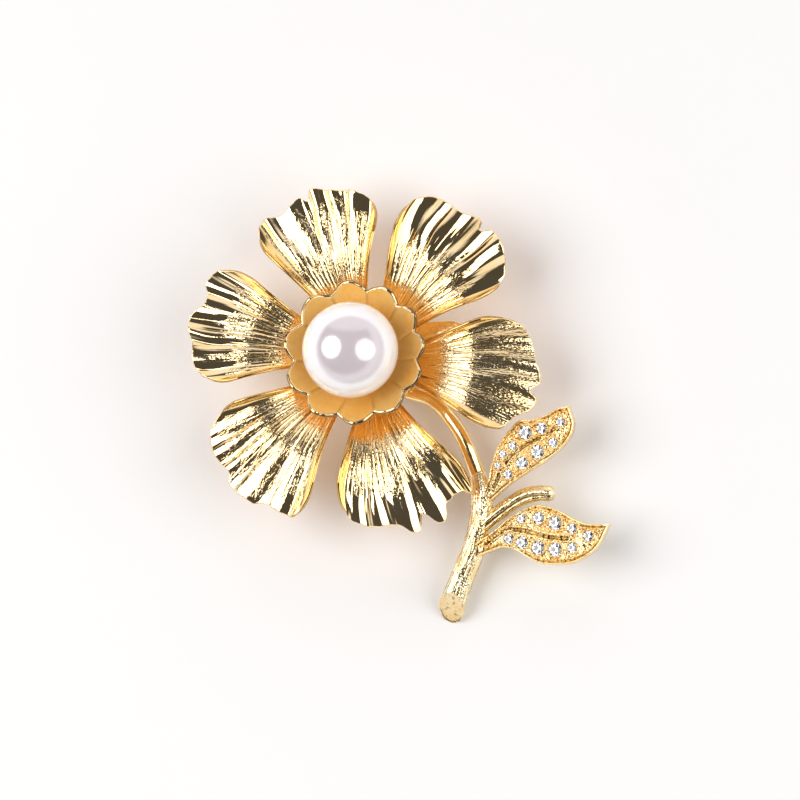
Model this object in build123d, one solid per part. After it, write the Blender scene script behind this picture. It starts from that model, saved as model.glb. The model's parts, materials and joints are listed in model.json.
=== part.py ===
"""Flower brooch: six textured petals round a pearl, a stem with two stone-set leaves, and a
roll-over pin finding on the back. Millimetres. +Z points out of the flower's face and +Y to its top.
The origin is on the pearl's axis, in the plane of the back bar's garment face."""

import math
import os

from build123d import *

# ---- driving dimensions -------------------------------------------------------------------------
PEARL_R = 6.0
PEARL_Z = 9.5  # height of the pearl's centre
PEG_R = 0.40
PEG_HOLE_R = 0.45
PEG_DEPTH = 4.0  # how far the peg stands in the pearl

BAR_LENGTH = 27.0
BAR_WIDTH = 5.2
BAR_Y = 2.0  # the finding sits a little above the flower's centre, so the brooch hangs upright
BAR_BACK = 0.25
BAR_FRONT = 1.0
PAD_LENGTH = 15.0
PAD_MARGIN = 0.1

DISC_R = 7.2
DISC_TOP = 2.0

SHEET = 0.6  # thickness of the petals
SOLDER_GAP = 0.02
PETAL_FOOT_R = 3.7
PETAL_REACH = 22.5
PETAL_FOOT_WIDTH = 0.80  # width at the foot over the width that the spread gives
PETAL_ARCH = 3.3  # rise of the petal from its foot to its crest
PETAL_CREST = 0.62  # where along the petal the crest lies
FALL_START = 0.58  # where along the petal the rim's fall begins
CURL_START = 0.72  # share of the half width that stays open; the rest rolls up
CURL_SHARE = 0.22  # the roll's radius over the half width
CURL_TURN = 95.0  # degrees that the edge rolls through where it rolls most
FLUTE_HEIGHT = 0.26
FLUTE_START = 0.22
FLUTE_FULL = 0.92
ACROSS_STEPS = 56
ALONG_STEPS = 10

CALYX_SHEET = 0.55
CALYX_VALLEY_R = 7.45
CALYX_LOBE_R = 8.75
CALYX_BOSS_R = 3.2
LOBE_DIRECTIONS = [95, 62, 31, 5, -22, -54, -89, -123, -157, -191, -229]

WIRE_R = 0.9
TWIG_R = 1.0
LEAF_SHEET = 1.3
SEAT_CLEARANCE = 0.02

PIN_Z = -2.9  # height of the pin's centreline, under the bar
PIN_R = 0.45
NECK_R = 0.65
EYE_R = 1.1
PIVOT_X = 11.5
NECK_END_X = 9.5
TAPER_X = -9.9
TIP_X = -12.6
TIP_R = 0.12
EAR_R = 1.65
EAR_GAP = 1.5
EAR_SHEET = 0.6
RIVET_R = 0.40
RIVET_HOLE_R = 0.405
EYE_HOLE_R = 0.45
RIVET_HEAD_R = 0.68
RIVET_HEAD = 0.25
FOOT_SHEET = 0.4

CATCH_X = -11.7
CATCH_LENGTH = 2.4
CATCH_R = 1.65
CATCH_BORE_R = 1.20
SLOT = 1.15
ROLLER_R = 1.15
ROLLER_BORE_R = 0.55
ROLLER_SLOT = 1.05
FLANGE_R = 1.5
FLANGE = 0.4
END_PLAY = 0.05
TAB_REACH = 3.0
TAB_WIDTH = 1.1

# Each petal: the way it points and half its spread, in degrees, how many flutes cross it and how
# far they are shifted, the fall from its crest to its rim, and its rim as (share across, radius),
# clockwise edge first.
PETALS = {
    "petal_upper_left": {
        "direction": 106.0, "spread": 25.5, "flutes": 6.6, "shift": 0.4, "fall": -0.3,
        "rim": [(-1, 15.5), (-0.85, 18.8), (-0.6, 20.7), (-0.25, 21.3), (-0.02, 22.1), (0.08, 20.9),
                (0.17, 21.6), (0.42, 20.6), (0.68, 21.3), (0.85, 20.4), (1, 17.5)],
    },
    "petal_upper_right": {
        "direction": 47.0, "spread": 25.5, "flutes": 7.0, "shift": 1.9, "fall": 0.9,
        "rim": [(-1, 15.0), (-0.85, 19.6), (-0.6, 21.8), (-0.2, 23.0), (-0.1, 21.9), (0, 22.9),
                (0.25, 22.1), (0.5, 22.2), (0.75, 21.6), (0.9, 20.3), (1, 17.0)],
    },
    "petal_right": {
        "direction": -8.5, "spread": 22.5, "flutes": 5.6, "shift": 3.0, "fall": 1.9,
        "rim": [(-1, 16.5), (-0.88, 20.1), (-0.6, 21.3), (-0.4, 23.0), (-0.27, 23.2), (-0.19, 22.3),
                (-0.05, 23.2), (0.25, 22.4), (0.6, 21.5), (0.8, 20.2), (1, 16.5)],
    },
    "petal_lower_right": {
        "direction": -72.5, "spread": 25.5, "flutes": 6.4, "shift": 0.9, "fall": 1.7,
        "rim": [(-1, 16.5), (-0.85, 19.6), (-0.6, 21.4), (-0.15, 22.1), (0.03, 23.6), (0.15, 21.7),
                (0.32, 23.7), (0.5, 21.7), (0.68, 21.7), (0.84, 22.6), (1, 19.5)],
    },
    "petal_lower_left": {
        "direction": -134.0, "spread": 26.0, "flutes": 6.2, "shift": 2.4, "fall": 0.6,
        "rim": [(-1, 16.5), (-0.88, 19.2), (-0.7, 21.3), (-0.34, 22.2), (-0.2, 22.0), (-0.07, 23.1),
                (0.25, 22.9), (0.45, 22.0), (0.75, 22.0), (0.9, 21.0), (1, 17.0)],
    },
    "petal_left": {
        "direction": 167.0, "spread": 24.0, "flutes": 5.6, "shift": 4.4, "fall": -0.5,
        "rim": [(-1, 15.5), (-0.8, 20.6), (-0.55, 21.8), (-0.3, 20.9), (-0.02, 22.4), (0.3, 21.5),
                (0.6, 21.0), (0.82, 19.2), (1, 15.5)],
    },
}

# The stem's centreline and its radius there, from its top to its cut end.
STEM = [((14.3, -14.6, 0.3), 1.1), ((14.7, -17.4, 0.1), 1.25), ((14.4, -20.8, -0.5), 1.35),
        ((13.3, -24.6, -1.3), 1.45), ((11.55, -28.4, -2.1), 1.5), ((9.75, -33.0, -2.95), 1.75)]
STEM_CUT = (10.3, -31.5, -2.7)  # a point of the slanting cut, on the centreline
STEM_CUT_SLANT = 52.0  # degrees that the cut leans back from square
WIRE = [(1.5, -2.9, 0.09), (8.5, -5.2, 0.09), (12.3, -9.6, 1.1), (14.3, -14.55, 0.35)]
WIRE_BEND = 5.0
TWIG = [(15.0, -21.2, -0.4), (18.3, -18.9, 0.4), (21.2, -17.5, 0.9), (23.4, -17.6, 1.1)]
TWIG_BEND = 3.0

# Each leaf lies in a plane from its root to its tip. Its edges and its stones (x, y, diameter)
# are in that plane: x along the leaf, y to its left.
LEAVES = {
    "upper": {
        "root": (16.68, -16.70, 0.2), "tip": (27.04, -7.04, 2.4),
        "left": [(-1.2, 0.1), (0.5, 1.0), (1.5, 2.0), (4.3, 3.4), (7.3, 3.8), (8.4, 3.6),
                 (9.4, 2.7), (11.0, 1.8), (12.9, 1.2), (14.1, 0.4)],
        "right": [(-1.2, -0.5), (1.8, -1.0), (4.9, -1.8), (7.6, -2.45), (10.6, -2.6),
                  (12.9, -1.7), (14.1, 0.4)],
        "stones": [(11.99, -0.26, 1.22), (9.73, 0.90, 1.42), (7.86, 1.99, 1.73), (5.55, 2.01, 1.12),
                   (3.90, 2.15, 1.05), (2.45, 1.62, 0.92), (9.55, -1.42, 1.22), (7.28, -0.82, 1.73),
                   (4.89, -0.40, 1.58), (2.60, -0.10, 1.22)],
    },
    "lower": {
        "root": (15.46, -24.10, -0.6), "tip": (31.35, -21.95, 1.9),
        "left": [(-0.9, 0.2), (1.3, 1.6), (3.9, 3.2), (7.0, 4.1), (8.8, 3.7), (10.4, 2.8),
                 (11.8, 1.7), (13.4, 0.75), (16.4, 0.1)],
        "right": [(-0.9, -0.4), (2.2, -0.3), (3.8, -0.95), (5.4, -2.25), (7.0, -3.25), (9.0, -3.7),
                  (11.1, -3.8), (13.4, -3.1), (14.8, -2.1), (16.4, 0.1)],
        "stones": [(5.30, 2.70, 1.22), (7.55, 2.40, 1.53), (9.60, 1.40, 1.73), (11.65, 0.40, 1.32),
                   (13.61, -0.88, 1.37), (3.34, 0.50, 1.32), (4.95, -0.25, 1.58), (6.94, -1.26, 1.73),
                   (9.12, -1.83, 1.73), (11.34, -1.99, 1.32)],
    },
}
TABLE_SHARE = 0.55  # the stone's flat top over its width
CROWN_SHARE = 0.30  # heights over the stone's radius
PAVILION_SHARE = 0.86
GIRDLE_SHARE = 0.06


# ---- petals -------------------------------------------------------------------------------------
def ease(share):
    """Smooth step from 0 to 1."""
    share = min(1.0, max(0.0, share))
    return share * share * (3 - 2 * share)


def rim_radius(rim, across):
    """The rim's radius at a share across the petal, eased from one of its points to the next."""
    for (a, low), (b, high) in zip(rim, rim[1:]):
        if across <= b:
            return low + (high - low) * ease((across - a) / (b - a))
    return rim[-1][1]


def petal_point(petal, across, along):
    """A point of the petal's middle surface, across from -1 to 1 and along from 0 at the foot to 1."""
    radius = PETAL_FOOT_R + along * (rim_radius(petal["rim"], across) - PETAL_FOOT_R)
    out = (radius - PETAL_FOOT_R) / (PETAL_REACH - PETAL_FOOT_R)
    fullness = PETAL_FOOT_WIDTH + (1 - PETAL_FOOT_WIDTH) * ease(out / 0.85)
    half_width = radius * math.radians(petal["spread"]) * fullness
    roll = CURL_SHARE * half_width
    open_width = half_width - roll
    share = abs(across)
    if share <= CURL_START:
        aside, lift = open_width * share / CURL_START, 0.0
    else:
        most = math.radians(CURL_TURN) * math.sin(math.pi * (0.15 + 0.75 * min(out, 1.0))) ** 0.8
        turn = most * (share - CURL_START) / (1 - CURL_START)
        aside, lift = open_width + roll * math.sin(turn), roll * (1 - math.cos(turn))
    arch = PETAL_ARCH * math.sin(math.pi / 2 * min(1.0, out / PETAL_CREST)) ** 1.6
    fall = petal["fall"] * max(0.0, (out - FALL_START) / (1 - FALL_START)) ** 1.5
    flute = FLUTE_HEIGHT * ease((out - FLUTE_START) / (FLUTE_FULL - FLUTE_START)) * (1 - across**6)
    flute *= math.cos(math.pi * petal["flutes"] * across + petal["shift"])
    angle = math.radians(petal["direction"]) + math.copysign(aside, across) / radius
    height = DISC_TOP + SOLDER_GAP + SHEET / 2 + arch - fall + lift + flute
    return Vector(radius * math.cos(angle), radius * math.sin(angle), height)


def petal_normal(petal, across, along):
    """The upward unit normal of the petal's middle surface."""
    d = 1e-3
    a0, a1 = max(-1, across - d), min(1, across + d)
    b0, b1 = max(0, along - d), min(1, along + d)
    over = petal_point(petal, a1, along) - petal_point(petal, a0, along)
    out = petal_point(petal, across, b1) - petal_point(petal, across, b0)
    return out.cross(over).normalized()


def petal_skin(petal, offset):
    """One skin of the petal, lofted through splines that cross it from its foot to its rim."""
    ribs = []
    for j in range(ALONG_STEPS + 1):
        along = j / ALONG_STEPS
        points = []
        for i in range(ACROSS_STEPS + 1):
            across = -1 + 2 * i / ACROSS_STEPS
            point = petal_point(petal, across, along)
            points.append(point + petal_normal(petal, across, along) * offset)
        ribs.append(Wire([Edge.make_spline(points)]))
    return Shell.make_loft(ribs).face()


def petal_solid(petal):
    """Both skins of a petal, closed by ruled faces along their edges."""
    top = petal_skin(petal, SHEET / 2)
    bottom = petal_skin(petal, -SHEET / 2)
    walls = []
    for edge in top.edges():
        partner = min(bottom.edges(), key=lambda e: (e @ 0.5 - edge @ 0.5).length)
        walls.append(Face.make_surface_from_curves(edge, partner))
    return Solid(Shell([top, bottom, *walls]))


# ---- flower centre ------------------------------------------------------------------------------
def base_disc():
    disc = Cylinder(DISC_R, DISC_TOP - BAR_FRONT, align=(Align.CENTER, Align.CENTER, Align.MIN))
    return Pos(0, 0, BAR_FRONT) * disc


def calyx_cup():
    """A bowl turned about the pearl's axis, trimmed to a lobed outline, on a boss that meets the disc."""
    floor = PEARL_Z - PEARL_R - 0.15
    outer = [(0, floor - CALYX_SHEET), (2.6, floor - CALYX_SHEET), (5.2, 3.75), (7.3, 5.35), (9.5, 7.90)]
    inner = [(0, floor), (2.6, floor), (5.0, 4.30), (6.9, 5.85), (9.1, 8.35)]
    with BuildPart() as bowl:
        with BuildSketch(Plane.XZ):
            with BuildLine():
                Line(outer[0], outer[1])
                Spline(outer[1:], tangents=[(1, 0), (0.62, 0.78)])
                Line(outer[-1], inner[-1])
                Spline(inner[:0:-1], tangents=[(-0.62, -0.78), (-1, 0)])
                Line(inner[1], inner[0])
                Line(inner[0], outer[0])
            make_face()
        revolve(axis=Axis.Z)
        with BuildSketch(Plane.XY.offset(DISC_TOP + SOLDER_GAP)):
            Circle(CALYX_BOSS_R)
        extrude(amount=floor - CALYX_SHEET / 2 - DISC_TOP)
        with BuildSketch():
            with BuildLine():
                lobe_outline()
            make_face()
        extrude(amount=PEARL_Z * 2, mode=Mode.INTERSECT)
    return bowl.part


def lobe_outline():
    """One arc for each lobe, from valley to valley through the lobe's tip."""
    turns = [math.radians(d) for d in LOBE_DIRECTIONS]
    turns.append(turns[0] - 2 * math.pi)
    valleys = [(a + b) / 2 for a, b in zip(turns, turns[1:])]
    valleys.insert(0, valleys[-1] + 2 * math.pi)
    for tip, before, after in zip(turns, valleys, valleys[1:]):
        ThreePointArc(polar(CALYX_VALLEY_R, before), polar(CALYX_LOBE_R, tip), polar(CALYX_VALLEY_R, after))


def polar(radius, angle):
    return (radius * math.cos(angle), radius * math.sin(angle))


def pearl():
    hole = Cylinder(PEG_HOLE_R, PEG_DEPTH + 0.2, align=(Align.CENTER, Align.CENTER, Align.MIN))
    return Pos(0, 0, PEARL_Z) * Sphere(PEARL_R) - Pos(0, 0, PEARL_Z - PEARL_R - 0.05) * hole


def pearl_peg():
    floor = PEARL_Z - PEARL_R - 0.15
    peg = Cylinder(PEG_R, PEG_DEPTH, align=(Align.CENTER, Align.CENTER, Align.MIN))
    return Pos(0, 0, floor) * peg


# ---- stem, twig and leaves ----------------------------------------------------------------------
def swept_round(points, radius, bend, round_end=False):
    """A round bar along straight runs joined by arcs."""
    path = FilletPolyline(*points, radius=bend)
    section = Plane(origin=path @ 0, z_dir=path % 0) * Circle(radius)
    bar = sweep(section, path=path)
    if round_end:
        bar += Pos(*(path @ 1)) * Sphere(radius)
    return bar


def stem():
    """A tapering branch through round sections, cut off at a slant."""
    sections = []
    for i, (point, radius) in enumerate(STEM):
        before, after = STEM[max(i - 1, 0)][0], STEM[min(i + 1, len(STEM) - 1)][0]
        along = Vector(*after) - Vector(*before)
        sections.append(Plane(origin=point, z_dir=along) * Circle(radius))
    branch = loft(sections)
    run = (Vector(*STEM[-1][0]) - Vector(*STEM[-2][0])).normalized()
    lean = math.radians(STEM_CUT_SLANT)
    normal = run * math.cos(lean) + Vector(0, 0, 1) * math.sin(lean)
    waste = Plane(origin=STEM_CUT, z_dir=normal) * Pos(0, 0, 10) * Box(20, 20, 20)
    return branch - waste


def leaf_plane(leaf):
    """The plane of a leaf's underside, x from its root to its tip."""
    along = Vector(*leaf["tip"]) - Vector(*leaf["root"])
    side = Vector(0, 0, 1).cross(along)
    return Plane(origin=leaf["root"], x_dir=along, z_dir=along.cross(side))


def stone_cone(radius):
    """A round-cut stone about Z, with its girdle's underside at z 0."""
    girdle = GIRDLE_SHARE * radius
    profile = [(0, -PAVILION_SHARE * radius), (radius, 0), (radius, girdle),
               (TABLE_SHARE * radius, girdle + CROWN_SHARE * radius), (0, girdle + CROWN_SHARE * radius)]
    return revolve(Plane.XZ * make_face(Polyline(*profile, close=True)), axis=Axis.Z)


def leaf_plate(leaf, neighbour):
    """A flat leaf with a seat under each stone, its root shaped to the branch that it is soldered to."""
    edge = Spline(leaf["left"]) + Spline(leaf["right"]) + Line(leaf["left"][0], leaf["right"][0])
    plate = extrude(make_face(edge), LEAF_SHEET)
    for x, y, diameter in leaf["stones"]:
        seat = stone_cone(diameter / 2 + SEAT_CLEARANCE)
        plate -= Pos(x, y, LEAF_SHEET - SEAT_CLEARANCE / 2) * seat
    return leaf_plane(leaf) * plate - neighbour


def leaf_stones(leaf):
    for x, y, diameter in leaf["stones"]:
        yield leaf_plane(leaf) * Pos(x, y, LEAF_SHEET) * stone_cone(diameter / 2)


# ---- pin finding --------------------------------------------------------------------------------
def back_bar():
    bar = Pos(0, BAR_Y, BAR_BACK) * extrude(SlotOverall(BAR_LENGTH, BAR_WIDTH), BAR_FRONT - BAR_BACK)
    pad = Rectangle(PAD_LENGTH, BAR_WIDTH - 2 * PAD_MARGIN)
    return bar + Pos(0, BAR_Y, 0) * extrude(pad, BAR_BACK)


def turned(radius, low_x, high_x):
    """A round bar along X on the pin's centreline."""
    bar = Cylinder(radius, high_x - low_x, rotation=(0, 90, 0))
    return Pos((low_x + high_x) / 2, BAR_Y, PIN_Z) * bar


def across_pivot(radius, width):
    """A round bar along Y on the hinge's axis."""
    return Pos(PIVOT_X, BAR_Y, PIN_Z) * Cylinder(radius, width, rotation=(90, 0, 0))


def finding_foot(x, length, width):
    foot = Box(length, width, FOOT_SHEET, align=(Align.CENTER, Align.CENTER, Align.MAX))
    return Pos(x, BAR_Y, BAR_BACK) * foot


def hinge_bracket():
    width = EAR_GAP + 2 * EAR_SHEET
    drop = BAR_BACK - PIN_Z
    cheeks = across_pivot(EAR_R, width)
    cheeks += Pos(PIVOT_X, BAR_Y, PIN_Z + drop / 2) * Box(2 * EAR_R, width, drop)
    gap = Box(3 * EAR_R, EAR_GAP, drop + EAR_R, align=(Align.CENTER, Align.CENTER, Align.MAX))
    cheeks -= Pos(PIVOT_X, BAR_Y, BAR_BACK - FOOT_SHEET) * gap
    return cheeks + finding_foot(PIVOT_X, 2 * EAR_R, width + 0.8) - across_pivot(RIVET_HOLE_R, width + 1)


def hinge_rivet():
    width = EAR_GAP + 2 * EAR_SHEET
    rivet = across_pivot(RIVET_R, width + 2 * RIVET_HEAD)
    for side in (-1, 1):
        head = Pos(0, side * (width + RIVET_HEAD) / 2, 0) * across_pivot(RIVET_HEAD_R, RIVET_HEAD)
        rivet += fillet(head.edges().filter_by(GeomType.CIRCLE).sort_by(Axis.Y)[side], 0.15)
    return rivet


def pin_stem():
    """The pin wire: an eye round the rivet, a neck, a round shaft and a tapered point."""
    eye = across_pivot(EYE_R, EAR_GAP - 0.1)
    shaft = turned(NECK_R, NECK_END_X, PIVOT_X) + turned(PIN_R, TAPER_X, NECK_END_X + 0.1)
    point = Cone(PIN_R, TIP_R, TAPER_X - TIP_X, rotation=(0, -90, 0))
    shaft += Pos((TAPER_X + TIP_X) / 2, BAR_Y, PIN_Z) * point
    return eye + shaft - across_pivot(EYE_HOLE_R, 2 * EAR_GAP)


def slot_below(width, low_x, high_x):
    """The cutter for a slot from the pin's centreline down."""
    cutter = Box(high_x - low_x, width, 4, align=(Align.CENTER, Align.CENTER, Align.MAX))
    return Pos((low_x + high_x) / 2, BAR_Y, PIN_Z) * cutter


def catch_body():
    low, high = CATCH_X - CATCH_LENGTH / 2, CATCH_X + CATCH_LENGTH / 2
    ring = turned(CATCH_R, low, high)
    neck = Box(CATCH_LENGTH, 1.8, BAR_BACK - PIN_Z, align=(Align.CENTER, Align.CENTER, Align.MIN))
    ring += Pos(CATCH_X, BAR_Y, PIN_Z) * neck + finding_foot(CATCH_X, CATCH_LENGTH, 3.4)
    return ring - turned(CATCH_BORE_R, low - 1, high + 1) - slot_below(SLOT, low - 1, high + 1)


def catch_roller():
    """The slotted sleeve that locks the pin, held in the catch by a flange at each end."""
    low = CATCH_X - CATCH_LENGTH / 2 - END_PLAY
    high = CATCH_X + CATCH_LENGTH / 2 + END_PLAY
    roller = turned(ROLLER_R, low - FLANGE, high + FLANGE)
    roller += turned(FLANGE_R, low - FLANGE, low) + turned(FLANGE_R, high, high + FLANGE)
    tab = Box(FLANGE, TAB_REACH - TAB_WIDTH / 2, TAB_WIDTH, align=(Align.MAX, Align.MIN, Align.CENTER))
    knob = Pos(-FLANGE / 2, TAB_REACH - TAB_WIDTH / 2, 0) * Cylinder(TAB_WIDTH / 2, FLANGE, rotation=(0, 90, 0))
    roller += Pos(low, BAR_Y, PIN_Z) * (tab + knob)
    bore = turned(ROLLER_BORE_R, low - 2, high + 2)
    return roller - bore - slot_below(ROLLER_SLOT, low - 2, high + 2)


# ---- build --------------------------------------------------------------------------------------
def all_parts():
    parts = {name: petal_solid(petal) for name, petal in PETALS.items()}
    parts["back_bar"] = back_bar()
    parts["base_disc"] = base_disc()
    parts["calyx_cup"] = calyx_cup()
    parts["pearl"] = pearl()
    parts["pearl_peg"] = pearl_peg()
    parts["stem"] = stem()
    parts["stem_wire"] = swept_round(WIRE, WIRE_R, WIRE_BEND) - parts["stem"]
    parts["side_twig"] = swept_round(TWIG, TWIG_R, TWIG_BEND, round_end=True) - parts["stem"]
    for name, leaf in LEAVES.items():
        joined = parts["stem"] + parts["side_twig"] + parts["stem_wire"]
        parts[f"leaf_{name}"] = leaf_plate(leaf, joined)
        for i, stone in enumerate(leaf_stones(leaf), 1):
            parts[f"stone_{name}_{i:02d}"] = stone
    parts["hinge_bracket"] = hinge_bracket()
    parts["hinge_rivet"] = hinge_rivet()
    parts["pin_stem"] = pin_stem()
    parts["catch_body"] = catch_body()
    parts["catch_roller"] = catch_roller()
    return parts


os.makedirs("parts", exist_ok=True)
for node, shape in all_parts().items():
    export_step(shape, f"parts/{node}.step")
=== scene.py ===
import json
import math

import bpy
from mathutils import Matrix, Vector, noise


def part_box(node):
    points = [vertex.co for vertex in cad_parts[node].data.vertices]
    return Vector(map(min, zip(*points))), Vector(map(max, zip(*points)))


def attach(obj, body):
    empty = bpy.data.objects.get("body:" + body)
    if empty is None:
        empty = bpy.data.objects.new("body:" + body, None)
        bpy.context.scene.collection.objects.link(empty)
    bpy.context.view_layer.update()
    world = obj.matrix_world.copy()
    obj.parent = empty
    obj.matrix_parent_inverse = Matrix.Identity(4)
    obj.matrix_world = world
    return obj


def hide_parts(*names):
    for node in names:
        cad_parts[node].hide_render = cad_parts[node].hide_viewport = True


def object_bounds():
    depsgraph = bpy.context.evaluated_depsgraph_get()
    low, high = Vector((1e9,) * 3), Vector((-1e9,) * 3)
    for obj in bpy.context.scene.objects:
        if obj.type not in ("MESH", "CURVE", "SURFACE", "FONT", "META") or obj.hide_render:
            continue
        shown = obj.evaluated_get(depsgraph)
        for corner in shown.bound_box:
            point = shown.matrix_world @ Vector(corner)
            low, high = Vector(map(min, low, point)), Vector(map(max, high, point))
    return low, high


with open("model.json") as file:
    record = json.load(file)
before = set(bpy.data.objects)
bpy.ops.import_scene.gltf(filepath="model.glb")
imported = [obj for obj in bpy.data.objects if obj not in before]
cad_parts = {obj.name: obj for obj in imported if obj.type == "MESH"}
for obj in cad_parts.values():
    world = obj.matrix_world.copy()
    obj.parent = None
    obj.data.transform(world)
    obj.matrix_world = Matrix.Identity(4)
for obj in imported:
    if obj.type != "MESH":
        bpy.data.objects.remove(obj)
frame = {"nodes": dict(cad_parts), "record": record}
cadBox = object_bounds()
print("frame loaded")

mm = 0.001  # the script's own sizes are in millimetres
scene = bpy.context.scene
scene.view_settings.view_transform = "Standard"

pearlLow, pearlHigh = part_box("pearl")
pearlCentre = (pearlLow + pearlHigh) / 2 / mm
pearlRadius = (pearlHigh.x - pearlLow.x) / 2 / mm
tableHeight = cadBox[0].z


# ---- node helpers

class Field:  # a node's output that takes arithmetic, so that a rule in nodes reads as a formula
    def __init__(self, tree, socket):
        self.tree = tree
        self.socket = socket

    def __add__(self, other):
        return maths(self.tree, "ADD", self, other)

    def __radd__(self, other):
        return maths(self.tree, "ADD", other, self)

    def __sub__(self, other):
        return maths(self.tree, "SUBTRACT", self, other)

    def __rsub__(self, other):
        return maths(self.tree, "SUBTRACT", other, self)

    def __mul__(self, other):
        return maths(self.tree, "MULTIPLY", self, other)

    def __rmul__(self, other):
        return maths(self.tree, "MULTIPLY", other, self)

    def __truediv__(self, other):
        return maths(self.tree, "DIVIDE", self, other)

    def __pow__(self, other):
        return maths(self.tree, "POWER", self, other)


def plug(tree, slot, value):
    if isinstance(value, Field):
        tree.links.new(value.socket, slot)
    elif value is not None:
        slot.default_value = value


def addNode(tree, kind, values=None, **settings):
    node = tree.nodes.new(kind)
    for key, value in settings.items():
        setattr(node, key, value)
    for key, value in (values or {}).items():
        plug(tree, node.inputs[key], value)
    return node


def maths(tree, operation, *values):
    node = tree.nodes.new("ShaderNodeMath")
    node.operation = operation
    for slot, value in zip(node.inputs, values):
        plug(tree, slot, value)
    return Field(tree, node.outputs[0])


def combine(tree, x, y, z):
    node = addNode(tree, "ShaderNodeCombineXYZ", {0: x, 1: y, 2: z})
    return Field(tree, node.outputs[0])


def split(tree, vector):
    node = addNode(tree, "ShaderNodeSeparateXYZ", {0: vector})
    return [Field(tree, output) for output in node.outputs]


def smoothStep(value, low, high, fromValue=0.0, toValue=1.0):
    tree = value.tree
    node = addNode(tree, "ShaderNodeMapRange", interpolation_type="SMOOTHSTEP")
    for slot, number in zip(node.inputs[:5], (value, low, high, fromValue, toValue)):
        plug(tree, slot, number)
    return Field(tree, node.outputs[0])


def noiseField(tree, vector, scale, detail=2.0, roughness=0.5):
    values = {"Vector": vector, "Scale": scale, "Detail": detail, "Roughness": roughness}
    return Field(tree, addNode(tree, "ShaderNodeTexNoise", values).outputs[0])


def mixColour(tree, share, first, second):
    node = addNode(tree, "ShaderNodeMix", data_type="RGBA")
    plug(tree, node.inputs[0], share)
    plug(tree, node.inputs[6], first)
    plug(tree, node.inputs[7], second)
    return Field(tree, node.outputs[2])


def newTree(name, kind, inputs, outputs):
    tree = bpy.data.node_groups.new(name, kind)
    for label, (socketType, value) in inputs.items():
        socket = tree.interface.new_socket(label, in_out="INPUT", socket_type=socketType)
        if value is not None:
            socket.default_value = value
    for label, socketType in outputs.items():
        tree.interface.new_socket(label, in_out="OUTPUT", socket_type=socketType)
    given = tree.nodes.new("NodeGroupInput")
    taken = tree.nodes.new("NodeGroupOutput")
    fields = {slot.name: Field(tree, slot) for slot in given.outputs if slot.name}
    return tree, fields, taken


def geometryTree(name, inputs):
    sockets = {"Geometry": ("NodeSocketGeometry", None)}
    sockets.update(inputs)
    sockets["Finish"] = ("NodeSocketMaterial", None)
    return newTree(name, "GeometryNodeTree", sockets, {"Geometry": "NodeSocketGeometry"})


def finishTree(tree, fields, taken, geometry):
    # every tree ends in real geometry with its finish on it
    real = addNode(tree, "GeometryNodeRealizeInstances", {0: geometry})
    painted = addNode(tree, "GeometryNodeSetMaterial", {"Geometry": Field(tree, real.outputs[0])})
    plug(tree, painted.inputs["Material"], fields["Finish"])
    tree.links.new(painted.outputs[0], taken.inputs[0])


def storeField(tree, geometry, name, kind, domain, value):
    # writes a value on the mesh under the name that a finish reads
    node = addNode(tree, "GeometryNodeStoreNamedAttribute", data_type=kind, domain=domain)
    plug(tree, node.inputs["Geometry"], geometry)
    node.inputs["Name"].default_value = name
    plug(tree, node.inputs["Value"], value)
    return Field(tree, node.outputs[0])


def readField(tree, name, kind):
    node = addNode(tree, "GeometryNodeInputNamedAttribute", data_type=kind)
    node.inputs["Name"].default_value = name
    return Field(tree, node.outputs["Attribute"])


def growMesh(piece, tree, values):
    # runs a geometry tree on a piece and keeps the result as its plain mesh
    modifier = piece.modifiers.new(tree.name, "NODES")
    modifier.node_group = tree
    for item in tree.interface.items_tree:
        if item.item_type == "SOCKET" and item.in_out == "INPUT" and item.name in values:
            modifier[item.identifier] = values[item.name]
    bpy.context.view_layer.update()
    graph = bpy.context.evaluated_depsgraph_get()
    shape = bpy.data.meshes.new_from_object(piece.evaluated_get(graph))
    piece.modifiers.remove(modifier)
    piece.data = shape
    shape.name = piece.name


# ---- mesh helpers

def newPiece(name, vertices, faces, finish=None, smooth=True):
    shape = bpy.data.meshes.new(name)
    shape.from_pydata([Vector(v) * mm for v in vertices], [], faces)
    if finish:
        shape.materials.append(finish)
    if smooth:
        shape.shade_smooth()
    shape.update()
    piece = bpy.data.objects.new(name, shape)
    scene.collection.objects.link(piece)
    return piece


def skin(loops, capStart=False, capEnd=False, closeLoops=True, joinEnds=False):
    # quads between neighbouring loops of equal length
    count = len(loops[0])
    vertices = [point for loop in loops for point in loop]
    faces = []
    rows = len(loops) if joinEnds else len(loops) - 1
    columns = count if closeLoops else count - 1
    for i in range(rows):
        here, there = i * count, (i + 1) % len(loops) * count
        for j in range(columns):
            k = (j + 1) % count
            faces.append((here + j, here + k, there + k, there + j))
    for wanted, start, step in ((capStart, 0, -1), (capEnd, (len(loops) - 1) * count, 1)):
        if wanted:
            ring = list(range(start, start + count))[::step]
            centre = sum((Vector(vertices[i]) for i in ring), Vector()) / count
            vertices.append(centre)
            for a, b in zip(ring, ring[1:] + ring[:1]):
                faces.append((a, b, len(vertices) - 1))
    return vertices, faces


def markPaintedShade(piece, values):
    # tells the finish how much shade to paint at each point: the mesh's recesses and creases
    held = piece.data.attributes.new("sunk", "FLOAT", "POINT")
    values = list(values) + [0.0] * (len(piece.data.vertices) - len(values))
    held.data.foreach_set("value", values)


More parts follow.
